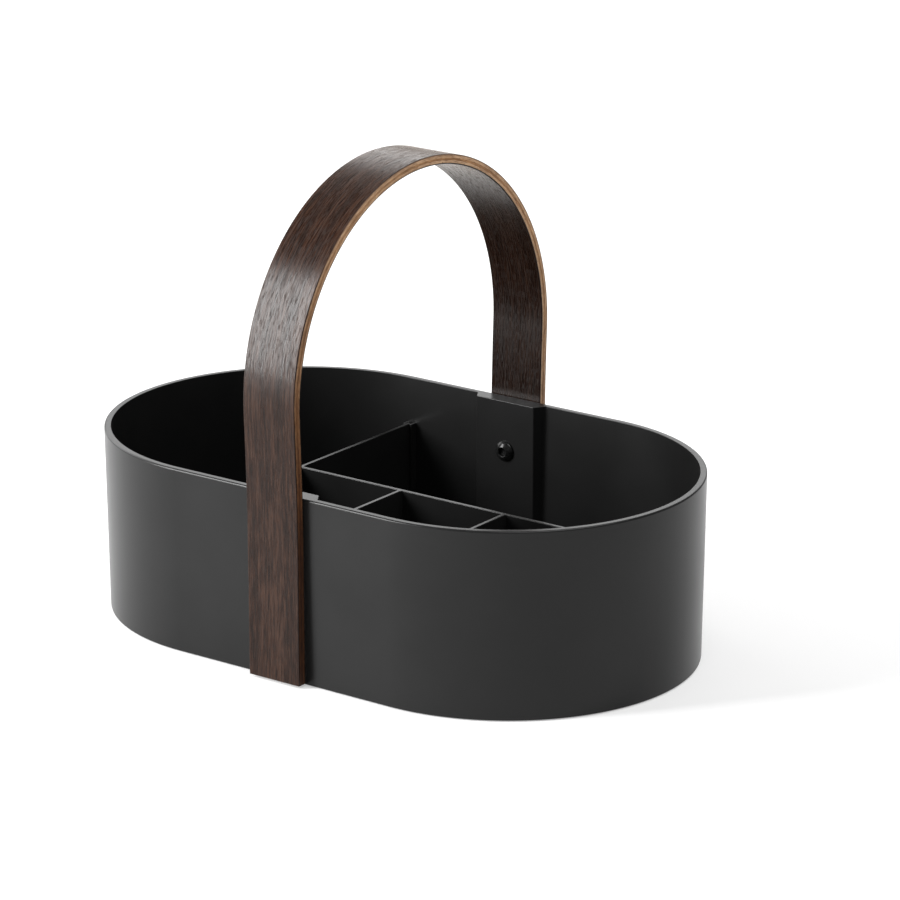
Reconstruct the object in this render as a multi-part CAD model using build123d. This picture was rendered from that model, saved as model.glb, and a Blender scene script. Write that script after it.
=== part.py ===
from build123d import *
import os
from math import atan, cos, degrees, sin

# Tool storage caddy: a moulded tub with a bent laminated carrying handle screwed across its
# middle, and a lift-out divider.  Millimetres.  +X runs along the tub, +Y to its rear and +Z up.
# The origin is on the surface that the caddy stands on, under the middle of the tub.

# Tub
TUB_LENGTH = 318.0          # overall, at the rim
TUB_WIDTH = 191.2           # overall, at the rim; the ends are half circles
TUB_HEIGHT = 92.9
DRAFT = 1.3                 # the tub is this much smaller all round at its underside
WALL = 3.4
FLOOR = 3.0
RIM_ROUND = 1.0             # outer edge of the rim
RIM_BEVEL = 0.3             # inner edge of the rim
BASE_BEVEL = 0.5

# Foot pads, in pockets in the underside
PAD_RADIUS = 7.0
PAD_THICKNESS = 1.5
PAD_PROUD = 0.5
PAD_CLEARANCE = 0.2
PAD_X = 96.0
PAD_Y = 56.0

# Inner bosses that the handle's legs are screwed to, one in each long wall
BOSS_FACE_Y = 86.7
BOSS_FACE_WIDTH = 34.8
BOSS_ROOT_WIDTH = 41.8

# Handle: a strap of five glued layers, listed from its inside to its outside
STRAP_WIDTH = 30.0
LAYERS = {
    "handle_inner_veneer": 0.6,
    "handle_inner_ply": 1.25,
    "handle_middle_ply": 1.2,
    "handle_outer_ply": 1.25,
    "handle_outer_veneer": 0.6,
}
SEAT_Y = 95.3               # inside face of a leg, against the tub's seat
SEAT_CLEARANCE = 0.15       # beside a leg, where its seat is sunk into the wall
FOOT = 0.9                  # end of a leg, above the underside
FLARE_START = 55.0          # above the underside; the legs lean outwards from here to the arch
ARCH_RADIUS = 97.1          # inside of the arch
ARCH_CENTRE = 135.7         # above the underside

# Button-head screws and the threaded inserts in the legs
SCREW_INSET = 26.0          # below the rim and above the underside
THREAD_RADIUS = 3.0
SHANK_LENGTH = 12.0
HEAD_RADIUS = 5.25
HEAD_HEIGHT = 3.3
HEAD_RIM = 0.8              # height of the straight edge under the dome
SOCKET_WIDTH = 4.0
SOCKET_DEPTH = 1.9
SCREW_CLEARANCE = 0.3
INSERT_RADIUS = 4.25
INSERT_LENGTH = 4.2
INSERT_NECK = 0.35          # depth of the groove round its middle
THREAD_GAP = 0.05

# Lift-out divider, and the pairs of guide ribs that hold its ends
DIVIDER_TOP = 69.4          # above the underside
DIVIDER_WALL = 2.0
CELL = (TUB_LENGTH - 2 * WALL) / 5      # spacing of its cross walls
DIVIDER_GAP = 0.6           # between its ends and the tub's walls, at the floor
SCREW_ROOM = 4.4            # between the middle cross wall and the boss, for the screw heads
RIB_WALL = 1.4
RIB_DEPTH = 3.0
RIB_GAP = 0.3

# Levels and positions worked out from the sizes above
UNDERSIDE = PAD_PROUD
RIM = UNDERSIDE + TUB_HEIGHT
FLOOR_TOP = UNDERSIDE + FLOOR
DRAFT_ANGLE = degrees(atan(DRAFT / TUB_HEIGHT))
SCREW_LEVELS = {"upper": RIM - SCREW_INSET, "lower": UNDERSIDE + SCREW_INSET}
SIDES = {"front": -1, "rear": 1}
ENDS = {"left": -1, "right": 1}


def stadium(inset, z):
    """The tub's outline moved inwards by inset, on the level z."""
    return Pos(0, 0, z) * SlotOverall(TUB_LENGTH - 2 * inset, TUB_WIDTH - 2 * inset)


def inset_at(z):
    """How far the drafted outer wall stands inside the rim's outline at the level z."""
    return DRAFT * (RIM - z) / TUB_HEIGHT


def drafted_prism(inset, z_low, z_high):
    """A block with the tub's outline and draft, its side moved inwards by inset."""
    outline = stadium(inset + inset_at(z_low), z_low)
    return extrude(outline, amount=z_high - z_low, taper=-DRAFT_ANGLE)


def along_y(radius, y_from, y_to, x, z):
    """A cylinder parallel to Y."""
    start = Plane(origin=(x, min(y_from, y_to), z), z_dir=(0, 1, 0))
    return extrude(start * Circle(radius), amount=abs(y_to - y_from))


def box_between(low, high):
    """A box from its lowest to its highest corner."""
    size = [b - a for a, b in zip(low, high)]
    return Pos(*low) * Box(*size, align=(Align.MIN, Align.MIN, Align.MIN))


def boss(sign):
    """The pad that stands in from the front or rear wall, from the floor to the rim."""
    face, root = BOSS_FACE_WIDTH / 2, BOSS_ROOT_WIDTH / 2
    wall_y = TUB_WIDTH / 2 - WALL
    outer_y = TUB_WIDTH / 2
    outline = [(-face, BOSS_FACE_Y), (face, BOSS_FACE_Y), (root, wall_y), (root, outer_y),
               (-root, outer_y), (-root, wall_y)]
    points = [(x, sign * y, 0) for x, y in outline]
    return extrude(make_face(Polyline(*points, close=True)), amount=RIM + 1, dir=(0, 0, 1))


def guide_ribs():
    """Pairs of ribs on the tub's walls, one pair for each end of the divider that meets a wall."""
    half_slot = DIVIDER_WALL / 2 + RIB_GAP
    top = UNDERSIDE + DIVIDER_TOP
    side_y = TUB_WIDTH / 2 - WALL - inset_at(FLOOR_TOP)
    end_x = TUB_LENGTH / 2 - WALL - inset_at(FLOOR_TOP)
    ribs = []
    for x, sign in ((-CELL, 1), (-CELL, -1), (CELL, -1)):
        for edge in (x - half_slot - RIB_WALL, x + half_slot):
            ys = sorted((sign * (side_y - RIB_DEPTH), sign * (side_y + WALL / 2)))
            ribs.append(box_between((edge, ys[0], FLOOR_TOP), (edge + RIB_WALL, ys[1], top)))
    for edge in (-half_slot - RIB_WALL, half_slot):
        low = (end_x - RIB_DEPTH, edge, FLOOR_TOP)
        high = (end_x + WALL / 2, edge + RIB_WALL, top)
        ribs.append(box_between(low, high))
    return ribs


def make_tub():
    """The moulded tub with its bosses, leg seats, guide ribs, screw holes and pad pockets."""
    body = drafted_prism(0, UNDERSIDE, RIM)
    body = fillet(body.edges().group_by(Axis.Z)[-1], RIM_ROUND)
    body = chamfer(body.edges().group_by(Axis.Z)[0], BASE_BEVEL)
    cavity = drafted_prism(WALL, FLOOR_TOP, RIM + 1)
    for sign in SIDES.values():
        cavity -= boss(sign)
    body -= cavity
    rim_face = body.faces().sort_by(Axis.Z)[-1]
    inner_rim = rim_face.inner_wires()[0].edges()
    body = chamfer(inner_rim, RIM_BEVEL)
    for rib in guide_ribs():
        body += rib
    half = STRAP_WIDTH / 2
    for sign in SIDES.values():
        ys = sorted((sign * (SEAT_Y - WALL / 2), sign * SEAT_Y))
        body += box_between((-half, ys[0], UNDERSIDE + FOOT), (half, ys[1], RIM - WALL))
        ys = sorted((sign * SEAT_Y, sign * TUB_WIDTH))
        cleared = half + SEAT_CLEARANCE
        body -= box_between((-cleared, ys[0], UNDERSIDE + FOOT), (cleared, ys[1], RIM + 1))
        for z in SCREW_LEVELS.values():
            radius = THREAD_RADIUS + SCREW_CLEARANCE
            body -= along_y(radius, sign * (BOSS_FACE_Y - 1), sign * (SEAT_Y + 1), 0, z)
    for x, y in pad_places().values():
        depth = PAD_THICKNESS - PAD_PROUD
        body -= Pos(x, y, UNDERSIDE + depth / 2) * Cylinder(PAD_RADIUS + PAD_CLEARANCE, depth)
    return body


def pad_places():
    """Centre of each foot pad, by name."""
    return {f"{side}_{end}": (end_sign * PAD_X, side_sign * PAD_Y)
            for side, side_sign in SIDES.items() for end, end_sign in ENDS.items()}


def make_divider():
    """A lift-out divider: one long wall and three cross walls, moulded in one piece."""
    half = DIVIDER_WALL / 2
    top = UNDERSIDE + DIVIDER_TOP
    wall_y = TUB_WIDTH / 2 - WALL - inset_at(FLOOR_TOP) - DIVIDER_GAP
    end_x = TUB_LENGTH / 2 - WALL - inset_at(FLOOR_TOP) - DIVIDER_GAP
    walls = [
        ((-CELL, -half), (end_x, half)),
        ((-CELL - half, -wall_y), (-CELL + half, wall_y)),
        ((-half, -BOSS_FACE_Y + SCREW_ROOM), (half, 0)),
        ((CELL - half, -wall_y), (CELL + half, 0)),
    ]
    divider = None
    for low, high in walls:
        wall = box_between((*low, FLOOR_TOP), (*high, top))
        divider = wall if divider is None else divider + wall
    return divider


def strap_side(offset):
    """Points of the strap's profile, offset outwards from its inside face.

    Gives the foot of a leg, the start and middle of its flare, the start of the arch and the
    arch's crown, as (y, z) on the rear side.  The flare is an arc tangent to leg and arch.
    """
    foot_z = UNDERSIDE + FOOT
    flare_z = UNDERSIDE + FLARE_START
    centre_z = UNDERSIDE + ARCH_CENTRE
    lean = 2 * atan((ARCH_RADIUS - SEAT_Y) / (centre_z - flare_z))
    flare_radius = (centre_z - flare_z) / sin(lean) - ARCH_RADIUS
    flare_y = SEAT_Y + flare_radius
    radius = flare_radius - offset
    arch = ARCH_RADIUS + offset
    return [
        (SEAT_Y + offset, foot_z),
        (SEAT_Y + offset, flare_z),
        (flare_y - radius * cos(lean / 2), flare_z + radius * sin(lean / 2)),
        (arch * cos(lean), centre_z - arch * sin(lean)),
        (0, centre_z + arch),
    ]


def strap_edges(offset):
    """The five edges of the strap's profile at an offset, in the plane of its left side."""
    x = -STRAP_WIDTH / 2
    rear = [(x, y, z) for y, z in strap_side(offset)]
    front = [(x, -y, z) for y, z in strap_side(offset)]
    return [
        Line(rear[0], rear[1]),
        ThreePointArc(rear[1], rear[2], rear[3]),
        ThreePointArc(rear[3], rear[4], front[3]),
        ThreePointArc(front[3], front[2], front[1]),
        Line(front[1], front[0]),
    ]


def make_layer(inside, outside):
    """One layer of the strap, between two offsets from the strap's inside face."""
    inner, outer = strap_edges(inside), strap_edges(outside)
    feet = [Line(inner[0] @ 0, outer[0] @ 0), Line(inner[-1] @ 1, outer[-1] @ 1)]
    profile = make_face(Curve() + [*inner, *outer, *feet])
    return extrude(profile, amount=STRAP_WIDTH, dir=(1, 0, 0))


def make_layers():
    """The five layers of the strap, with holes for the threaded inserts."""
    layers = {}
    inside = 0.0
    for name, thickness in LAYERS.items():
        layer = make_layer(inside, inside + thickness)
        if inside < INSERT_LENGTH:
            for sign in SIDES.values():
                for z in SCREW_LEVELS.values():
                    start, end = sign * (SEAT_Y - 1), sign * (SEAT_Y + INSERT_LENGTH + THREAD_GAP)
                    layer -= along_y(INSERT_RADIUS + THREAD_GAP, start, end, 0, z)
        layers[name] = layer
        inside += thickness
    return layers


def make_screw():
    """A button-head screw with a hexagon socket, pointing along +Z, its head's seat at z = 0."""
    dome_height = HEAD_HEIGHT - HEAD_RIM
    dome_radius = (HEAD_RADIUS ** 2 + dome_height ** 2) / (2 * dome_height)
    ball = Pos(0, 0, dome_radius - HEAD_HEIGHT) * Sphere(dome_radius)
    head = Pos(0, 0, -HEAD_HEIGHT / 2) * Cylinder(HEAD_RADIUS, HEAD_HEIGHT)
    socket = RegularPolygon(SOCKET_WIDTH / 2, 6, major_radius=False)
    head = (head & ball) - extrude(Pos(0, 0, -HEAD_HEIGHT) * socket, amount=SOCKET_DEPTH)
    shank = Pos(0, 0, SHANK_LENGTH / 2) * Cylinder(THREAD_RADIUS, SHANK_LENGTH)
    return head + shank


def make_insert():
    """A threaded insert along +Z, with a groove round its middle that the wood grips."""
    middle = INSERT_LENGTH / 2
    body = Cylinder(INSERT_RADIUS, INSERT_LENGTH)
    neck = Cylinder(INSERT_RADIUS + 1, INSERT_LENGTH / 5)
    neck -= Cylinder(INSERT_RADIUS - INSERT_NECK, INSERT_LENGTH / 5)
    bore = Cylinder(THREAD_RADIUS + THREAD_GAP, INSERT_LENGTH)
    return Pos(0, 0, middle) * (body - neck - bore)


def facing(sign, y, z):
    """Where a fastener that points outwards along +Y or -Y goes."""
    return Plane(origin=(0, sign * y, z), x_dir=(1, 0, 0), z_dir=(0, sign, 0)).location


def make_parts():
    """Every piece of the caddy, by node name."""
    parts = {"caddy_tub": make_tub(), "divider_insert": make_divider(), **make_layers()}
    screw, insert = make_screw(), make_insert()
    for side, sign in SIDES.items():
        for level, z in SCREW_LEVELS.items():
            parts[f"screw_{side}_{level}"] = facing(sign, BOSS_FACE_Y, z) * screw
            parts[f"threaded_insert_{side}_{level}"] = facing(sign, SEAT_Y, z) * insert
    pad = Cylinder(PAD_RADIUS, PAD_THICKNESS, align=(Align.CENTER, Align.CENTER, Align.MIN))
    for place, (x, y) in pad_places().items():
        parts[f"foot_pad_{place}"] = Pos(x, y, 0) * pad
    return parts


os.makedirs("parts", exist_ok=True)
for node, piece in make_parts().items():
    export_step(piece, f"parts/{node}.step")
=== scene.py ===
from math import atan, ceil, cos, hypot, pi, radians, sin, sqrt, tan

import bmesh
import bpy
from mathutils import Matrix, Vector


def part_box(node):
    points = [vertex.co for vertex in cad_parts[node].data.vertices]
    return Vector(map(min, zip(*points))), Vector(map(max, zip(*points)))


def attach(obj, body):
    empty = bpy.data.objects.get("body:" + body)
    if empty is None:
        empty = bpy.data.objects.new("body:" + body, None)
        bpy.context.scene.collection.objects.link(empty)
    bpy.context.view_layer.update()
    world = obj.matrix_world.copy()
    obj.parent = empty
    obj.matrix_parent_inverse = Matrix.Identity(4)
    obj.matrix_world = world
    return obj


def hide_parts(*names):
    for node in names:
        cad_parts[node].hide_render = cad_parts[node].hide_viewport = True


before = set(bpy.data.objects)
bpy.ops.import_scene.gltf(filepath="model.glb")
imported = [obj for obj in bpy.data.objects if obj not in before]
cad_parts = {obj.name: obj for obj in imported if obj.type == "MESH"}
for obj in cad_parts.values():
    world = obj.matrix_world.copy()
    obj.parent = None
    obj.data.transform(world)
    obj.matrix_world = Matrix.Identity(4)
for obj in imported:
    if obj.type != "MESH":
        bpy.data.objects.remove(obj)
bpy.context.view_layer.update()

MM = 0.001
SIDES = {"front": -1, "rear": 1}
LEVELS = ("lower", "upper")

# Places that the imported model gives
tub_low, tub_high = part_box("caddy_tub")
divider_low, divider_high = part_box("divider_insert")
strap_low, strap_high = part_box("handle_outer_veneer")
inner_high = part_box("handle_inner_veneer")[1]
screw_boxes = {level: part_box(f"screw_rear_{level}") for level in LEVELS}
insert_boxes = {level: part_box(f"threaded_insert_rear_{level}") for level in LEVELS}

# Tub
UNDERSIDE = tub_low.z
RIM = tub_high.z
HALF_LENGTH = tub_high.x
HALF_WIDTH = tub_high.y                 # at the rim
HALF_STRAIGHT = HALF_LENGTH - HALF_WIDTH
DRAFT = 1.3 * MM
WALL = 3.4 * MM
FLOOR_TOP = divider_low.z
RIM_ROUND = 1.0 * MM
RIM_BEVEL = 0.3 * MM
BASE_ROUND = 0.5 * MM
SEAT_Y = insert_boxes["upper"][0].y      # the seats that the legs stand against
SEAT_CLEARANCE = 0.15 * MM
BOSS_FACE_HALF = 17.4 * MM
BOSS_SLOPE = 3.5 / 5.5                  # how much a boss widens towards the wall
BOSS_ROUND = 0.5 * MM
ROOT_ROUND = 1.6 * MM
FLOOR_ROUND = 0.5 * MM

# Divider and the ribs that guide its ends
DIVIDER_TOP = divider_high.z
DIVIDER_HALF_WALL = 1.0 * MM
CELL = 2 * (HALF_LENGTH - WALL) / 5
MIDDLE_WALL_END = 82.3 * MM
JUNCTION_ROUND = 1.0 * MM
WALL_END_ROUND = 0.35 * MM
TOP_ROUND = 0.3 * MM
RIB_WALL = 1.4 * MM
RIB_DEPTH = 3.0 * MM
RIB_GAP = 0.3 * MM
RIB_ROUND = 0.2 * MM

# Handle
STRAP_HALF = strap_high.x
FOOT = strap_low.z
LAYERS = {
    "handle_inner_veneer": 0.6 * MM,
    "handle_inner_ply": 1.25 * MM,
    "handle_middle_ply": 1.2 * MM,
    "handle_outer_ply": 1.25 * MM,
    "handle_outer_veneer": 0.6 * MM,
}
ARCH_RADIUS = inner_high.y - LAYERS["handle_inner_veneer"]
ARCH_CENTRE = inner_high.z - inner_high.y
FLARE_START = UNDERSIDE + 55 * MM
FACE_ROUND = 0.35 * MM                  # the eased edges of the two faces
GLUE_LINE = 0.04 * MM                   # the rounding that leaves a fine line between layers
END_EASE = 0.1 * MM                     # how far a leg's end is drawn in, over the height END_ROUND
END_ROUND = 0.15 * MM

# Fasteners and pads
SHANK_LENGTH = 12.0 * MM
BOSS_FACE_Y = screw_boxes["upper"][1].y - SHANK_LENGTH
THREAD_RADIUS = 3.0 * MM
THREAD_PITCH = 1.0 * MM
HOLE_RADIUS = 3.3 * MM
INSERT_RADIUS = 4.25 * MM
INSERT_CLEARANCE = 0.05 * MM
HEAD_RADIUS = 5.25 * MM
HEAD_HEIGHT = 3.3 * MM
PAD_CLEARANCE = 0.2 * MM


# Mesh building

def quarter_turn(steps):
    """Angles from 0 to 90 degrees in equal steps, both ends included."""
    return [pi / 2 * k / steps for k in range(steps + 1)]


def skin(bm, rings):
    """Quads between neighbouring closed rings of points.  Returns the rings of vertices."""
    made = [[bm.verts.new(point) for point in ring] for ring in rings]
    count = len(made[0])
    for one, two in zip(made, made[1:]):
        for i in range(count):
            j = (i + 1) % count
            bm.faces.new((one[i], one[j], two[j], two[i]))
    return made


def loop_edges(ring):
    """The edges round a closed ring of vertices."""
    edges = []
    for one, two in zip(ring, ring[1:] + ring[:1]):
        edges.append(next(e for e in one.link_edges if e.other_vert(one) is two))
    return edges


def fill_between(bm, rings, normal):
    """A flat face bounded by closed rings of vertices, the first one outermost."""
    edges = [edge for ring in rings for edge in loop_edges(ring)]
    bmesh.ops.triangle_fill(bm, use_beauty=True, use_dissolve=False, edges=edges, normal=normal)


def finish_mesh(bm, name):
    """The mesh of a closed shell, with doubled points merged and its faces turned outwards."""
    bmesh.ops.remove_doubles(bm, verts=bm.verts[:], dist=1e-7)
    bmesh.ops.dissolve_degenerate(bm, edges=bm.edges[:], dist=1e-8)
    bmesh.ops.recalc_face_normals(bm, faces=bm.faces[:])
    mesh = bpy.data.meshes.new(name)
    bm.to_mesh(mesh)
    bm.free()
    return mesh


def link(name, mesh):
    """A new object in the scene that holds the mesh."""
    made = bpy.data.objects.new(name, mesh)
    bpy.context.scene.collection.objects.link(made)
    return made


def combine(target, operation, mesh):
    """Adds a closed mesh to a mesh object, or cuts it out of the object, for good."""
    tool = link("tool", mesh)
    change = target.modifiers.new(operation, "BOOLEAN")
    change.operation = operation
    change.solver = "EXACT"
    change.object = tool
    depsgraph = bpy.context.evaluated_depsgraph_get()
    result = bpy.data.meshes.new_from_object(target.evaluated_get(depsgraph))
    target.modifiers.clear()
    old = target.data
    target.data = result
    bpy.data.meshes.remove(old)
    bpy.data.objects.remove(tool)


def joined(meshes, name):
    """One mesh that holds several closed ones."""
    bm = bmesh.new()
    for mesh in meshes:
        bm.from_mesh(mesh)
        bpy.data.meshes.remove(mesh)
    made = bpy.data.meshes.new(name)
    bm.to_mesh(made)
    bm.free()
    return made


def shade(made, angle=32):
    """Smooth shading that keeps flat faces flat and edges sharper than the angle crisp."""
    for polygon in made.data.polygons:
        polygon.use_smooth = True
    made.data.set_sharp_from_angle(angle=radians(angle))
    weighted = made.modifiers.new("flat faces", "WEIGHTED_NORMAL")
    weighted.keep_sharp = True


def place(made, body, node, material):
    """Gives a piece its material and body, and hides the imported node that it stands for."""
    made.data.materials.clear()
    made.data.materials.append(material)
    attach(made, body)
    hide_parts(node)
    return made


def rounded_outline(corners, grow=0.0, steps=4):
    """Points of a closed outline whose corners are rounded, moved outwards by grow.

    corners holds (x, y, radius), counter-clockwise.  An outward corner's arc gets larger as the
    outline grows and an inward corner's arc gets smaller, so that the outlines stay parallel.
    """
    points = []
    count = len(corners)
    for i, (x, y, radius) in enumerate(corners):
        corner = Vector((x, y))
        before = (corner - Vector(corners[i - 1][:2])).normalized()
        after = (Vector(corners[(i + 1) % count][:2]) - corner).normalized()
        turn = before.angle_signed(after) * -1
        side = 1 if turn > 0 else -1
        reach = radius * tan(abs(turn) / 2)
        inwards = Vector((-before.y, before.x)) * side
        centre = corner - before * reach + inwards * radius
        start = -inwards
        for k in range(steps + 1):
            direction = start.copy()
            direction.rotate(Matrix.Rotation(turn * k / steps, 2))
            points.append(centre + direction * (radius + side * grow))
    return points


def block(low, high, radius=0.0, steps=3):
    """The mesh of a box, its edges rounded where a radius is given."""
    bm = bmesh.new()
    bmesh.ops.create_cube(bm, size=1)
    size = Vector(high) - Vector(low)
    middle = (Vector(high) + Vector(low)) / 2
    for vertex in bm.verts:
        vertex.co = Vector(a * b for a, b in zip(vertex.co, size)) + middle
    if radius:
        bmesh.ops.bevel(bm, geom=bm.edges[:], offset=radius, segments=steps, profile=0.5,
                        affect="EDGES")
    return finish_mesh(bm, "block")


def turned(profile, steps, shape=None):
    """A closed mesh turned round Z from (radius, height) pairs, its two ends closed flat.

    shape(angle, radius, height) may change each point's radius.
    """
    rings = []
    for radius, height in profile:
        ring = []
        for k in range(steps):
            angle = 2 * pi * k / steps
            r = shape(angle, radius, height) if shape else radius
            ring.append(Vector((r * cos(angle), r * sin(angle), height)))
        rings.append(ring)
    bm = bmesh.new()
    made = skin(bm, rings)
    bm.faces.new(made[0])
    bm.faces.new(made[-1])
    return finish_mesh(bm, "turned")


def facing(sign, y, z):
    """The matrix that turns +Z outwards along +Y or -Y and moves it to the place."""
    outwards = Vector((0, sign, 0))
    across = Vector((1, 0, 0))
    axes = Matrix((across, outwards.cross(across), outwards)).transposed()
    return Matrix.Translation((0, sign * y, z)) @ axes.to_4x4()


# The tub

def inset_at(z):
    """How far the drafted outer wall stands inside the rim's outline at the level z."""
    return DRAFT * (RIM - z) / (RIM - UNDERSIDE)


def stadium(half_width, z, steps=96):
    """The tub's outline with another half width, with its ends as half circles."""
    ring = []
    for centre, start in ((HALF_STRAIGHT, -pi / 2), (-HALF_STRAIGHT, pi / 2)):
        for k in range(steps + 1):
            angle = start + pi * k / steps
            ring.append(Vector((centre + half_width * cos(angle), half_width * sin(angle), z)))
    return ring


def boss_corners(half_width, grow):
    """Corners of the rear boss, from its right root to its left one, as (x, y, radius)."""
    slant = sqrt(1 + BOSS_SLOPE ** 2)
    face = BOSS_FACE_Y + grow

    def side_x(y):
        return BOSS_FACE_HALF + (y - BOSS_FACE_Y) * BOSS_SLOPE - grow * slant

    right = [(side_x(half_width), half_width, ROOT_ROUND + grow),
             (side_x(face), face, BOSS_ROUND - grow)]
    return right + [(-x, y, radius) for x, y, radius in reversed(right)]


def inner_ring(z, grow=0.0, steps=96, corner_steps=5):
    """The tub's inner outline at the level z, moved into the wall by grow."""
    half_width = HALF_WIDTH - WALL - inset_at(z) + grow
    ends = stadium(half_width, z, steps)
    per_corner = corner_steps + 1
    ring = []
    for side, end in ((1, ends[:steps + 1]), (-1, ends[steps + 1:])):
        ring += end
        corners = [(side * x, side * y, radius) for x, y, radius in boss_corners(half_width, grow)]
        before = (side * HALF_STRAIGHT, side * half_width, 0)
        after = (-side * HALF_STRAIGHT, side * half_width, 0)
        outline = rounded_outline([before, *corners, after, (0, 0, 0)], steps=corner_steps)
        boss = outline[per_corner:-2 * per_corner]
        ring += [Vector((*point, z)) for point in boss]
    return ring


def tub_shell():
    """The tub's walls, floor and rim as one closed surface."""
    outer = []
    for angle in quarter_turn(3):
        z = UNDERSIDE + BASE_ROUND * (1 - cos(angle))
        inset = inset_at(z) + BASE_ROUND * (1 - sin(angle))
        outer.append(stadium(HALF_WIDTH - inset, z))
    for angle in quarter_turn(8):
        z = RIM - RIM_ROUND * (1 - sin(angle))
        outer.append(stadium(HALF_WIDTH - inset_at(z) - RIM_ROUND * (1 - cos(angle)), z))
    inner = []
    for angle in quarter_turn(4):
        z = RIM - RIM_BEVEL * (1 - cos(angle))
        inner.append(inner_ring(z, RIM_BEVEL * (1 - sin(angle))))
    for angle in quarter_turn(4):
        z = FLOOR_TOP + FLOOR_ROUND * (1 - sin(angle))
        inner.append(inner_ring(z, -FLOOR_ROUND * (1 - cos(angle))))
    bm = bmesh.new()
    outside = skin(bm, outer)
    inside = skin(bm, inner)
    bm.faces.new(outside[0])
    bm.faces.new(inside[-1])
    fill_between(bm, [outside[-1], inside[0]], (0, 0, 1))
    return finish_mesh(bm, "tub")


def rib_blocks():
    """The pairs of ribs that guide the divider's ends."""
    half_slot = DIVIDER_HALF_WALL + RIB_GAP
    side_y = HALF_WIDTH - WALL - inset_at(FLOOR_TOP)
    end_x = HALF_LENGTH - WALL - inset_at(FLOOR_TOP)
    bottom = FLOOR_TOP - MM
    ribs = []
    for x, sign in ((-CELL, 1), (-CELL, -1), (CELL, -1)):
        for edge in (x - half_slot - RIB_WALL, x + half_slot):
            ys = sorted((sign * (side_y - RIB_DEPTH), sign * (side_y + WALL / 2)))
            ribs.append(block((edge, ys[0], bottom), (edge + RIB_WALL, ys[1], DIVIDER_TOP),
                              RIB_ROUND))
    for edge in (-half_slot - RIB_WALL, half_slot):
        ribs.append(block((end_x - RIB_DEPTH, edge, bottom),
                          (end_x + WALL / 2, edge + RIB_WALL, DIVIDER_TOP), RIB_ROUND))
    return ribs


def seat_blocks():
    """The upright seats that the legs stand against, proud of the wall towards the foot."""
    seats = []
    for sign in SIDES.values():
        ys = sorted((sign * (SEAT_Y - WALL / 2), sign * SEAT_Y))
        seats.append(block((-STRAP_HALF, ys[0], FOOT), (STRAP_HALF, ys[1], RIM - WALL)))
    return seats


def seat_recesses():
    """What the seats cut away from the wall towards the rim, where they are sunk into it."""
    half = STRAP_HALF + SEAT_CLEARANCE
    recesses = []
    for sign in SIDES.values():
        ys = sorted((sign * SEAT_Y, sign * (SEAT_Y + WALL)))
        recesses.append(block((-half, ys[0], FOOT), (half, ys[1], RIM + WALL)))
    return recesses


def bore(radius, sign, y_from, y_to, z):
    """A cylinder along Y at the level z."""
    mesh = turned([(radius, 0), (radius, y_to - y_from)], steps=64)
    mesh.transform(facing(sign, y_from, z))
    return mesh


def screw_height(level):
    """The level of a screw's axis."""
    low, high = screw_boxes[level]
    return (low.z + high.z) / 2


def screw_bores():
    """The clearance holes through the bosses, walls and seats."""
    return [bore(HOLE_RADIUS, sign, BOSS_FACE_Y - MM, SEAT_Y + MM, screw_height(level))
            for sign in SIDES.values() for level in LEVELS]


def pad_nodes():
    """The names of the foot pads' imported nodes."""
    return sorted(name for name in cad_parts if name.startswith("foot_pad"))


def pad_pockets():
    """The round pockets in the underside that hold the foot pads."""
    pockets = []
    for node in pad_nodes():
        low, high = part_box(node)
        middle = (low + high) / 2
        radius = (high.x - low.x) / 2 + PAD_CLEARANCE
        mesh = turned([(radius, UNDERSIDE - MM), (radius, high.z)], steps=72)
        mesh.transform(Matrix.Translation((middle.x, middle.y, 0)))
        pockets.append(mesh)
    return pockets


def make_tub(material):
    """The moulded tub with its ribs, seats, holes and pockets."""
    made = link("tub", tub_shell())
    removed = screw_bores() + pad_pockets() + seat_recesses()
    combine(made, "UNION", joined(rib_blocks() + seat_blocks(), "added"))
    combine(made, "DIFFERENCE", joined(removed, "removed"))
    shade(made)
    return place(made, "caddy", "caddy_tub", material)


# The divider

def divider_corners():
    """Corners of the divider's plan, counter-clockwise, as (x, y, radius)."""
    half = DIVIDER_HALF_WALL
    long_wall_end = divider_high.x
    full_wall_end = divider_high.y
    corners = []
    for x, end_y in ((-CELL, -full_wall_end), (0, -MIDDLE_WALL_END), (CELL, -full_wall_end)):
        corners += [(x - half, -half, JUNCTION_ROUND), (x - half, end_y, WALL_END_ROUND),
                    (x + half, end_y, WALL_END_ROUND), (x + half, -half, JUNCTION_ROUND)]
    corners = corners[1:]
    corners += [(long_wall_end, -half, WALL_END_ROUND), (long_wall_end, half, WALL_END_ROUND)]
    corners += [(-CELL + half, half, JUNCTION_ROUND), (-CELL + half, full_wall_end, WALL_END_ROUND),
                (-CELL - half, full_wall_end, WALL_END_ROUND)]
    return corners


def make_divider(material):
    """The lift-out divider: one long wall and three cross walls in one moulding."""
    corners = divider_corners()

    def ring(z, angle):
        outline = rounded_outline(corners, -TOP_ROUND * (1 - cos(angle)))
        return [Vector((*point, z)) for point in outline]

    rings = [ring(FLOOR_TOP + TOP_ROUND * (1 - sin(angle)), angle) for angle in quarter_turn(3)]
    rings.reverse()
    rings += [ring(DIVIDER_TOP - TOP_ROUND * (1 - sin(angle)), angle) for angle in quarter_turn(4)]
    bm = bmesh.new()
    made_rings = skin(bm, rings)
    fill_between(bm, [made_rings[0]], (0, 0, -1))
    fill_between(bm, [made_rings[-1]], (0, 0, 1))
    made = link("divider", finish_mesh(bm, "divider"))
    shade(made)
    return place(made, "divider", "divider_insert", material)


# The handle

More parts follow.
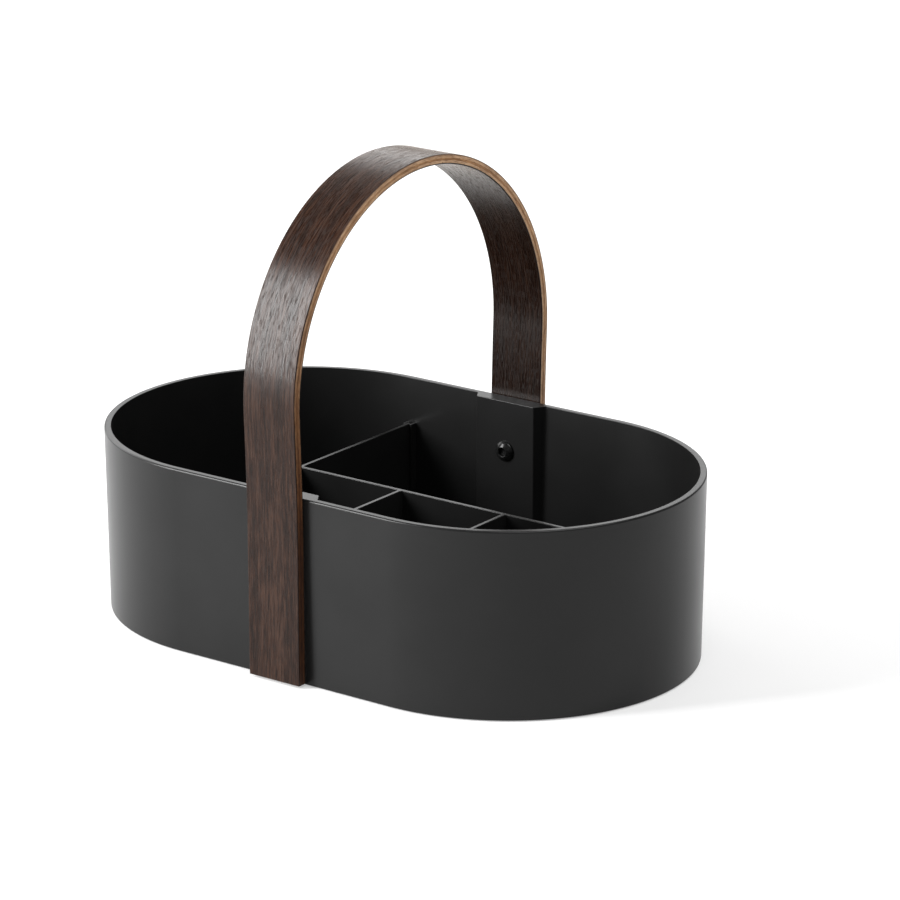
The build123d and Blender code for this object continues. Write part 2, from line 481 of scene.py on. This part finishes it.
FLARE_HEIGHT = ARCH_CENTRE - FLARE_START
LEAN = 2 * atan((ARCH_RADIUS - SEAT_Y) / FLARE_HEIGHT)
FLARE_RADIUS = FLARE_HEIGHT / sin(LEAN) - ARCH_RADIUS
FLARE_Y = SEAT_Y + FLARE_RADIUS


def strap_line(arch_steps=80, flare_steps=8):
    """Places along the strap's inside face, from the rear foot over the arch to the front foot.

    Each is (y, z, outward y, outward z).  The steps are those of one half.
    """
    half = []
    for k in range(arch_steps + 1):
        angle = (pi / 2 + LEAN) * k / arch_steps
        y, z = sin(angle), cos(angle)
        half.append((ARCH_RADIUS * y, ARCH_CENTRE + ARCH_RADIUS * z, y, z))
    for k in range(1, flare_steps + 1):
        angle = LEAN * (1 - k / flare_steps)
        y, z = cos(angle), -sin(angle)
        half.append((FLARE_Y - FLARE_RADIUS * y, FLARE_START - FLARE_RADIUS * z, y, z))
    half += [(SEAT_Y, z, 1, 0) for z in (FOOT + END_ROUND, FOOT)]
    rear = list(reversed(half[1:]))
    front = [(-y, z, -out_y, out_z) for y, z, out_y, out_z in half]
    return rear + front


def layer_section(inside, outside, inside_round, outside_round, shrink=0.0):
    """A layer's cross-section as (x, offset) points, its four edges rounded."""
    half = STRAP_HALF - shrink
    corners = [(-half, inside + shrink, inside_round), (half, inside + shrink, inside_round),
               (half, outside - shrink, outside_round), (-half, outside - shrink, outside_round)]
    return rounded_outline(corners, steps=4)


def mark_strap(mesh):
    """Stores each point's place across, along and through the strap, for the wood's grain."""
    places = mesh.attributes.new("strap", "FLOAT_VECTOR", "POINT")
    for vertex, entry in zip(mesh.vertices, places.data):
        x, y, z = vertex.co
        side = 1 if y < 0 else -1
        y = abs(y)
        height = z - ARCH_CENTRE
        reach = hypot(y, height)
        angle = Vector((height, y)).angle(Vector((1, 0)))
        if angle <= pi / 2 + LEAN:
            along = ARCH_RADIUS * angle
            through = reach - ARCH_RADIUS
        elif z >= FLARE_START:
            lean = atan((z - FLARE_START) / (FLARE_Y - y))
            along = ARCH_RADIUS * (pi / 2 + LEAN) + FLARE_RADIUS * (LEAN - lean)
            through = FLARE_RADIUS - hypot(z - FLARE_START, FLARE_Y - y)
        else:
            along = ARCH_RADIUS * (pi / 2 + LEAN) + FLARE_RADIUS * LEAN + FLARE_START - z
            through = y - SEAT_Y
        entry.vector = (x, side * along, through)


def make_layer(node, inside, material, slot):
    """One layer of the handle, bent over its whole length, with its holes for the inserts."""
    outside = inside + LAYERS[node]
    inside_round = FACE_ROUND if inside == 0 else GLUE_LINE
    outside_round = FACE_ROUND if node == "handle_outer_veneer" else GLUE_LINE
    full = layer_section(inside, outside, inside_round, outside_round)
    eased = layer_section(inside, outside, inside_round, outside_round, shrink=END_EASE)
    line = strap_line()
    rings = []
    for i, (y, z, out_y, out_z) in enumerate(line):
        section = eased if i in (0, len(line) - 1) else full
        rings.append([Vector((x, y + t * out_y, z + t * out_z)) for x, t in section])
    bm = bmesh.new()
    ends = skin(bm, rings)
    bm.faces.new(ends[0])
    bm.faces.new(ends[-1])
    made = link(node.replace("handle_", "strap_"), finish_mesh(bm, node))
    bore_end = insert_boxes["upper"][1].y + INSERT_CLEARANCE
    if SEAT_Y + inside < bore_end:
        bores = [bore(INSERT_RADIUS + INSERT_CLEARANCE, sign, SEAT_Y - MM, bore_end,
                      screw_height(level)) for sign in SIDES.values() for level in LEVELS]
        combine(made, "DIFFERENCE", joined(bores, "bores"))
    mark_strap(made.data)
    shade(made)
    return place(made, "caddy", node, material)


# Fasteners and pads

def hexagon(angle, across_flats):
    """Distance from the centre of a hexagon to its edge in a direction."""
    return across_flats / 2 / cos((angle + pi / 6) % (pi / 3) - pi / 6)


def screw_mesh():
    """A button-head screw along +Z, its head's seat at z = 0 and its socket facing -Z."""
    side_height = 0.8 * MM              # the head's upright side, below its dome
    side_round = 0.12 * MM
    chamfer = 0.3 * MM
    socket_half = 2.0 * MM              # from the axis to a flat
    socket_mouth = 2.62 * MM
    socket_floor = 1.9 * MM - HEAD_HEIGHT
    drill_point = 0.55 * MM
    dome_rise = HEAD_HEIGHT - side_height
    dome_radius = (HEAD_RADIUS ** 2 + dome_rise ** 2) / (2 * dome_rise)
    dome_edge = HEAD_RADIUS - side_round
    dome_steps = 12

    def dome(radius):
        return -HEAD_HEIGHT + dome_radius - sqrt(dome_radius ** 2 - radius ** 2)

    profile = [(0.05 * MM, socket_floor + drill_point), (socket_half - 0.2 * MM, socket_floor),
               (socket_half, socket_floor), (socket_half, dome(socket_mouth) + chamfer),
               (socket_mouth, dome(socket_mouth))]
    for k in range(1, dome_steps + 1):
        radius = socket_mouth + (dome_edge - socket_mouth) * k / dome_steps
        profile.append((radius, dome(radius)))
    for angle in quarter_turn(4)[1:]:
        profile.append((HEAD_RADIUS - side_round * (1 - sin(angle)),
                        -side_height + side_round * (1 - cos(angle))))
    profile += [(HEAD_RADIUS, -chamfer), (HEAD_RADIUS - chamfer, 0)]
    profile += [(THREAD_RADIUS + 0.25 * MM, 0), (THREAD_RADIUS, chamfer)]

    thread_start = 1.2 * MM
    thread_depth = 0.6 * MM
    point_depth, point_length = 0.7 * MM, 0.8 * MM
    per_pitch = 8
    count = ceil((SHANK_LENGTH - thread_start) / THREAD_PITCH * per_pitch)
    profile += [(THREAD_RADIUS, thread_start + (SHANK_LENGTH - thread_start) * k / count)
                for k in range(count + 1)]

    def shape(angle, radius, height):
        if height >= thread_start:
            turn = (height / THREAD_PITCH - angle / (2 * pi)) % 1
            depth = thread_depth * min(1, (height - thread_start) / THREAD_PITCH)
            groove = depth * min(1, abs(2 * turn - 1) * 1.15)
            point = point_depth * max(0, 1 - (SHANK_LENGTH - height) / point_length)
            return radius - max(groove, point)
        if radius == socket_half:
            return hexagon(angle, 2 * socket_half)
        return radius

    return turned(profile, steps=72, shape=shape)


def insert_mesh(steps=144):
    """A knurled threaded insert along +Z with a groove round its middle."""
    low, high = insert_boxes["upper"]
    length = high.y - low.y
    bore_radius = THREAD_RADIUS + 0.05 * MM
    chamfer = 0.3 * MM
    lead = 0.2 * MM                     # the smaller chamfer at the end that faces the tub
    groove_radius = INSERT_RADIUS - 0.35 * MM
    groove_side = 0.1 * MM
    groove_start, groove_end = 0.4 * length, 0.6 * length
    knurls = 36
    knurl_depth = 0.25 * MM
    profile = [(bore_radius + chamfer, 0), (INSERT_RADIUS - lead, 0), (INSERT_RADIUS, lead)]
    profile += [(INSERT_RADIUS, groove_start), (groove_radius, groove_start + groove_side)]
    profile += [(groove_radius, groove_end - groove_side), (INSERT_RADIUS, groove_end)]
    profile += [(INSERT_RADIUS, length - chamfer), (INSERT_RADIUS - chamfer, length)]
    profile += [(bore_radius + chamfer, length), (bore_radius, length - chamfer)]
    profile += [(bore_radius, chamfer), (bore_radius + chamfer, 0)]

    def knurled(angle, radius):
        if radius < INSERT_RADIUS:
            return radius
        return radius - knurl_depth * abs(angle * knurls / (2 * pi) % 1 - 0.5)

    angles = [2 * pi * k / steps for k in range(steps)]
    rings = []
    for radius, height in profile:
        radii = [knurled(angle, radius) for angle in angles]
        rings.append([Vector((r * cos(a), r * sin(a), height)) for r, a in zip(radii, angles)])
    bm = bmesh.new()
    skin(bm, rings)
    return finish_mesh(bm, "insert")


def make_fasteners(steel, brass):
    """The screws and the threaded inserts that they go into."""
    for side, sign in SIDES.items():
        for level in LEVELS:
            z = screw_height(level)
            screw = screw_mesh()
            screw.transform(facing(sign, BOSS_FACE_Y, z))
            made = link(f"button_screw_{side}_{level}", screw)
            shade(made, angle=40)
            place(made, "caddy", f"screw_{side}_{level}", steel)
            insert = insert_mesh()
            insert.transform(facing(sign, SEAT_Y, z))
            made = link(f"leg_insert_{side}_{level}", insert)
            shade(made, angle=30)
            place(made, "caddy", f"threaded_insert_{side}_{level}", brass)


def make_pads(material):
    """The foot pads, with a rounded edge and a shallow round hollow in the face they stand on."""
    edge = 0.4 * MM
    top_chamfer = 0.1 * MM
    hollow_share, hollow_depth, hollow_slope = 0.6, 0.15 * MM, 0.3 * MM
    for node in pad_nodes():
        low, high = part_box(node)
        middle = (low + high) / 2
        radius = (high.x - low.x) / 2
        profile = [(hollow_share * radius - hollow_slope, hollow_depth), (hollow_share * radius, 0)]
        profile += [(radius - edge * (1 - sin(angle)), edge * (1 - cos(angle)))
                    for angle in quarter_turn(5)]
        profile += [(radius, high.z - top_chamfer), (radius - top_chamfer, high.z)]
        mesh = turned(profile, steps=72)
        mesh.transform(Matrix.Translation((middle.x, middle.y, 0)))
        made = link(node.replace("foot_pad", "rubber_pad"), mesh)
        shade(made)
        place(made, "caddy", node, material)


# Materials

class Shading:
    """A material made of shader nodes round one Principled shader."""

    def __init__(self, name):
        self.material = bpy.data.materials.new(name)
        self.material.use_nodes = True
        self.tree = self.material.node_tree
        self.surface = self.tree.nodes["Principled BSDF"]

    def node(self, kind, inputs, **settings):
        """Adds a node and sets or links its inputs, by name or index.  Returns the node."""
        made = self.tree.nodes.new("ShaderNode" + kind)
        for name, value in settings.items():
            setattr(made, name, value)
        for key, value in inputs.items():
            self.connect(made.inputs[key], value)
        return made

    def connect(self, socket, value):
        """Links a socket to another one, or sets its value."""
        if isinstance(value, bpy.types.NodeSocket):
            self.tree.links.new(value, socket)
        else:
            socket.default_value = value

    def set(self, **inputs):
        """Sets or links the Principled shader's inputs, with _ for a space in a name."""
        for name, value in inputs.items():
            self.connect(self.surface.inputs[name.replace("_", " ")], value)

    def object_place(self):
        """The point's place in metres, in the object's own frame."""
        return self.node("TexCoord", {}).outputs["Object"]

    def stretched(self, vector, scale):
        """A vector scaled by a different factor along each axis."""
        return self.node("Mapping", {"Vector": vector, "Scale": scale}).outputs["Vector"]

    def noise(self, vector, scale, detail=2.0, roughness=0.5):
        """Noise from about 0.3 to 0.7, with scale features to a metre."""
        inputs = {"Vector": vector, "Scale": scale, "Detail": detail, "Roughness": roughness}
        return self.node("TexNoise", inputs).outputs["Fac"]

    def spread(self, value, low, high, to_low=0.0, to_high=1.0):
        """Maps a value from one range to another, held at its ends."""
        inputs = {"Value": value, "From Min": low, "From Max": high, "To Min": to_low,
                  "To Max": to_high}
        return self.node("MapRange", inputs, clamp=True).outputs["Result"]

    def math(self, operation, one, two=0.0, three=0.0):
        """The result of a Math node."""
        return self.node("Math", {0: one, 1: two, 2: three}, operation=operation).outputs[0]

    def blend(self, factor, one, two, kind="MIX"):
        """Mixes two colours."""
        made = self.node("Mix", {}, data_type="RGBA", blend_type=kind)
        self.connect(made.inputs[0], factor)
        self.connect(made.inputs[6], one)
        self.connect(made.inputs[7], two)
        return made.outputs[2]

    def ramp(self, value, stops):
        """Colours along a value, from (position, colour) stops."""
        made = self.node("ValToRGB", {"Fac": value})
        elements = made.color_ramp.elements
        while len(elements) < len(stops):
            elements.new(0.5)
        for element, (position, colour) in zip(elements, stops):
            element.position = position
            element.color = colour
        return made.outputs["Color"]

    def bump(self, height, depth, strength=1.0, normal=None):
        """A bump of a real depth in metres."""
        inputs = {"Height": height, "Distance": depth, "Strength": strength}
        if normal is not None:
            inputs["Normal"] = normal
        return self.node("Bump", inputs).outputs["Normal"]


def grey(value):
    """A neutral colour."""
    return (value, value, value, 1)


def plastic(name, seed):
    """Black moulded plastic with the fine grain of a spark-eroded mould and faint handling marks.

    seed sets the pattern apart from another moulding's.
    """
    base = 0.0085
    roughness = 0.30
    made = Shading(name)
    where = made.object_place()
    grain = made.noise(where, 2400 + seed, detail=2, roughness=0.6)
    flow = made.noise(where, 26 + seed, detail=2)
    marks = made.noise(made.stretched(where, (120, 120, 700)), 1, detail=4, roughness=0.65)
    colour = made.blend(made.spread(flow, 0.3, 0.7), grey(base * 0.88), grey(base * 1.12))
    rough = made.math("ADD", made.spread(flow, 0.3, 0.7, roughness - 0.015, roughness + 0.015),
                      made.spread(marks, 0.64, 0.8, 0.0, 0.04))
    normal = made.bump(grain, 0.008 * MM, 0.4, made.bump(flow, 0.05 * MM, 0.3))
    made.set(Base_Color=colour, Roughness=rough, Normal=normal, Specular_IOR_Level=0.22)
    return made.material


def strap_place(made):
    """The point's place across, along and through the strap, in metres."""
    return made.node("Attribute", {}, attribute_name="strap").outputs["Vector"]


def veneer(name, depth, edge_highlight):
    """Dark stained veneer: straight grain, open pores along it and a satin lacquer.

    depth, from 0 to 1, darkens the colour as painted shade, for a face that lies in shade.  The
    last argument, from 0 to 1, paints a highlight on the veneer's thin sides, over the crown and
    down the rear.
    """
    dark_grain, mid_grain, light_grain = (
        (0.0065, 0.002, 0.0007, 1), (0.0165, 0.0061, 0.003, 1), (0.038, 0.018, 0.011, 1))
    # The second colour on the next line is a painted shade.
    pore_colour, painted_shade_colour = (0.010, 0.0035, 0.0015, 1), (0.004, 0.002, 0.0014, 1)
    # The veneer's thin sides are dark; the lighter of these two colours is a painted highlight on
    # them.
    stained_side, highlit_side = (0.008, 0.0038, 0.0025, 1), (0.15, 0.085, 0.05, 1)
    made = Shading(name)
    strap = strap_place(made)

    # The grain's patterns, from broad to fine, sway together
    wander = made.noise(made.stretched(strap, (50, 11, 50)), 1, detail=2)
    sway = made.node("CombineXYZ", {"X": made.spread(wander, 0, 1, -0.4 * MM, 0.4 * MM)}).outputs[0]
    grain_place = made.node("VectorMath", {0: strap, 1: sway}, operation="ADD").outputs[0]
    bands = made.noise(made.stretched(grain_place, (180, 5, 180)), 1, detail=3, roughness=0.55)
    streaks = made.noise(made.stretched(grain_place, (1000, 50, 1000)), 1, detail=3, roughness=0.6)
    fibres = made.noise(made.stretched(grain_place, (2200, 150, 2200)), 1, detail=2, roughness=0.6)
    hairs = made.noise(made.stretched(grain_place, (2100, 28, 2100)), 1, detail=3, roughness=0.7)
    pores = made.noise(made.stretched(grain_place, (2500, 230, 2500)), 1, detail=2, roughness=0.5)
    pore = made.spread(pores, 0.52, 0.64)

    tone = made.math("MULTIPLY_ADD", bands, 0.35, made.math("MULTIPLY", streaks, 0.65))
    tone = made.math("MULTIPLY_ADD", made.math("SUBTRACT", fibres, 0.5), 0.5, tone)
    colour = made.ramp(tone, [(0.38, dark_grain), (0.5, mid_grain), (0.62, light_grain)])
    colour = made.blend(made.math("MULTIPLY", pore, 0.4), colour, pore_colour)
    # Painted shade: depth darkens the whole face towards a shaded colour.
    colour = made.blend(depth, colour, painted_shade_colour)
    places = made.node("SeparateXYZ", {"Vector": strap}).outputs
    distance = made.math("ABSOLUTE", places["X"])
    side = made.spread(distance, STRAP_HALF - 0.12 * MM, STRAP_HALF - 0.03 * MM)
    # Painted highlight: the thin sides turn lighter over the crown and down the rear.
    side_highlight = made.spread(places["Y"], 70 * MM, 105 * MM, edge_highlight, 0)
    colour = made.blend(side, colour, made.blend(side_highlight, stained_side, highlit_side))

    rough = made.math("MULTIPLY_ADD", pore, 0.34, made.spread(hairs, 0.36, 0.64, 0.14, 0.34))
    height = made.math("MULTIPLY_ADD", fibres, 0.2, hairs)
    height = made.math("SUBTRACT", height, made.math("MULTIPLY", pore, 0.05))
    made.set(Base_Color=colour, Roughness=rough, Normal=made.bump(height, 0.08 * MM, 0.6))
    made.set(Specular_IOR_Level=0.18, Sheen_Weight=0.12, Sheen_Roughness=0.3)
    made.set(Sheen_Tint=(1, 0.72, 0.5, 1))
    return made.material


def ply(name, dark, light):
    """Core ply: tan wood whose sawn edge is flecked, with painted shade that darkens it down both
    legs, most down the front leg.
    """
    painted_shade_reach = 300 * MM            # the painted shade's stops run this far down both legs
    made = Shading(name)
    strap = strap_place(made)
    fibres = made.noise(made.stretched(strap, (900, 260, 2200)), 1, detail=4, roughness=0.6)
    mottle = made.noise(made.stretched(strap, (300, 120, 700)), 1, detail=3, roughness=0.6)
    fleck = made.noise(made.stretched(strap, (1500, 600, 3200)), 1, detail=2)
    tone = made.math("MULTIPLY_ADD", fibres, 0.6, made.math("MULTIPLY", mottle, 0.4))
    colour = made.ramp(tone, [(0.40, dark), (0.60, light)])
    pits = made.math("MULTIPLY", made.spread(fleck, 0.56, 0.68), 0.6)
    colour = made.blend(pits, colour, (0.05, 0.02, 0.007, 1))
    along = made.node("SeparateXYZ", {"Vector": strap}).outputs["Y"]
    # Painted shade: the edge's colour darkens towards both feet, most of all down the front leg.
    painted_shade = made.ramp(made.spread(along, -painted_shade_reach, painted_shade_reach),
                      [(0.0, grey(0.4)), (0.18, grey(0.9)), (0.35, grey(1)), (0.6, grey(1)),
                       (0.76, (0.42, 0.33, 0.25, 1)), (0.82, (0.22, 0.14, 0.085, 1)),
                       (0.86, (0.12, 0.068, 0.036, 1)), (1.0, (0.10, 0.053, 0.025, 1))])
    colour = made.blend(1.0, colour, painted_shade, kind="MULTIPLY")
    made.set(Base_Color=colour, Roughness=made.spread(fibres, 0.3, 0.7, 0.6, 0.75))
    made.set(Normal=made.bump(tone, 0.05 * MM, 0.5), Specular_IOR_Level=0.25)
    return made.material


def black_oxide(name):
    """Blackened steel with a faint, slightly uneven gloss."""
    made = Shading(name)
    where = made.object_place()
    mottle = made.noise(where, 900, detail=4, roughness=0.6)
    made.set(Base_Color=made.ramp(mottle, [(0.35, grey(0.004)), (0.7, grey(0.010))]),
             Roughness=made.spread(mottle, 0.3, 0.7, 0.19, 0.27),
             Normal=made.bump(made.noise(where, 3500, detail=2), 0.004 * MM, 0.5))
    made.set(Specular_IOR_Level=0.2)
    return made.material


def turned_brass(name):
    """Turned brass, slightly dulled."""
    made = Shading(name)
    where = made.object_place()
    dull = made.noise(where, 700, detail=4, roughness=0.6)
    made.set(Base_Color=made.ramp(dull, [(0.3, (0.42, 0.26, 0.08, 1)), (0.7, (0.72, 0.5, 0.2, 1))]),
             Roughness=made.spread(dull, 0.3, 0.7, 0.22, 0.4),
             Normal=made.bump(made.noise(where, 5000, detail=1), 0.004 * MM, 0.5))
    made.set(Metallic=1.0)
    return made.material


def rubber(name):
    """Matt black rubber with a fine speckle."""
    made = Shading(name)
    where = made.object_place()
    speckle = made.noise(where, 1800, detail=3, roughness=0.6)
    made.set(Base_Color=made.ramp(speckle, [(0.35, grey(0.016)), (0.7, grey(0.034))]),
             Roughness=made.spread(speckle, 0.3, 0.7, 0.7, 0.85),
             Normal=made.bump(speckle, 0.03 * MM, 0.5))
    made.set(Specular_IOR_Level=0.35)
    return made.material


# The object

def make_strap():
    """The handle's five layers, from the inside out."""
    # The inside veneer's colour is darkened as painted shade.
    inner_veneer = veneer("inner_veneer", depth=0.68, edge_highlight=0.0)
    # The outside veneer's thin sides carry a painted highlight.
    outer_veneer = veneer("outer_veneer", depth=0.0, edge_highlight=1.0)
    core_ply = ply("core_ply", (0.26, 0.145, 0.074, 1), (0.52, 0.335, 0.20, 1))
    cross_ply = ply("cross_ply", (0.14, 0.062, 0.022, 1), (0.36, 0.19, 0.085, 1))
    finishes = {
        "handle_inner_veneer": (inner_veneer, "dark_veneer"),
        "handle_inner_ply": (core_ply, "core_ply"),
        "handle_middle_ply": (cross_ply, "cross_ply"),
        "handle_outer_ply": (core_ply, "core_ply"),
        "handle_outer_veneer": (outer_veneer, "dark_veneer"),
    }
    inside = 0.0
    for node, thickness in LAYERS.items():
        make_layer(node, inside, *finishes[node])
        inside += thickness


make_tub(plastic("tub_plastic", seed=0))
make_divider(plastic("divider_plastic", seed=7))
make_strap()
make_fasteners(black_oxide("black_screw"), turned_brass("insert_brass"))
make_pads(rubber("pad_rubber"))


# Floor, light and camera

CAMERA_TARGET = Vector((0.02968, 0, 0.0958))
CAMERA_DIRECTION = (36.38, 17.68)       # azimuth and elevation, in degrees
CAMERA_DISTANCE = 2.0787
LENS, SENSOR = 172.71, 36               # millimetres
LIGHT_DISTANCE = 2.2
LIGHT_TARGET = Vector((0, 0, 0.08))


def make_floor():
    """A pale floor, faintly lit from below and more so where the lights don't reach it."""
    mesh = bpy.data.meshes.new("floor")
    reach = 6.0
    corners = [(-reach, -reach, 0), (reach, -reach, 0), (reach, reach, 0), (-reach, reach, 0)]
    mesh.from_pydata(corners, [], [(0, 1, 2, 3)])
    made = link("floor", mesh)
    look = Shading("floor")
    where = look.object_place()
    distance = look.node("VectorMath", {0: where}, operation="LENGTH").outputs["Value"]
    look.set(Base_Color=grey(0.6), Roughness=0.9, Specular_IOR_Level=0.2)
    look.set(Emission_Color=grey(1), Emission_Strength=look.spread(distance, 0.9, 2.4, 0.38, 0.9))
    mesh.materials.append(look.material)


def direction(azimuth, elevation):
    """The unit vector towards an azimuth from the front, to the right, and an elevation."""
    azimuth, elevation = radians(azimuth), radians(elevation)
    return Vector((sin(azimuth) * cos(elevation), -cos(azimuth) * cos(elevation), sin(elevation)))


def softbox(name, azimuth, elevation, width, height, strength):
    """A soft rectangular light that faces the object from a direction, of a strength per area."""
    lamp = bpy.data.lights.new(name, "AREA")
    lamp.shape = "RECTANGLE"
    lamp.size, lamp.size_y = width, height
    lamp.energy = strength * width * height
    made = link(name, lamp)
    towards = direction(azimuth, elevation)
    made.location = LIGHT_TARGET + towards * LIGHT_DISTANCE
    made.rotation_mode = "QUATERNION"
    made.rotation_quaternion = (-towards).to_track_quat("-Z", "Y")
    made.visible_camera = False


def make_light():
    """Dim white surroundings and soft boxes round the object."""
    world = bpy.data.worlds.new("surroundings")
    world.use_nodes = True
    background = world.node_tree.nodes["Background"].inputs
    background["Color"].default_value = grey(1)
    background["Strength"].default_value = 0.25
    bpy.context.scene.world = world
    softbox("front left", -42, 21.5, 0.75, 1.75, 78)
    softbox("left", -98, 24, 1.6, 1.2, 12)
    softbox("rear", -148, 25, 1.9, 1.0, 7.5)
    softbox("top", 85, 66, 1.7, 1.3, 15)


def make_camera():
    """The camera, at the photograph's distance and angle."""
    back = direction(*CAMERA_DIRECTION)
    lens = bpy.data.cameras.new("camera")
    lens.sensor_width = SENSOR
    lens.lens = LENS
    lens.clip_start, lens.clip_end = 0.05, 50
    made = link("camera", lens)
    made.location = CAMERA_TARGET + back * CAMERA_DISTANCE
    made.rotation_mode = "QUATERNION"
    made.rotation_quaternion = (-back).to_track_quat("-Z", "Y")
    bpy.context.scene.camera = made


make_floor()
make_light()
make_camera()
bpy.context.scene.view_settings.view_transform = "Standard"
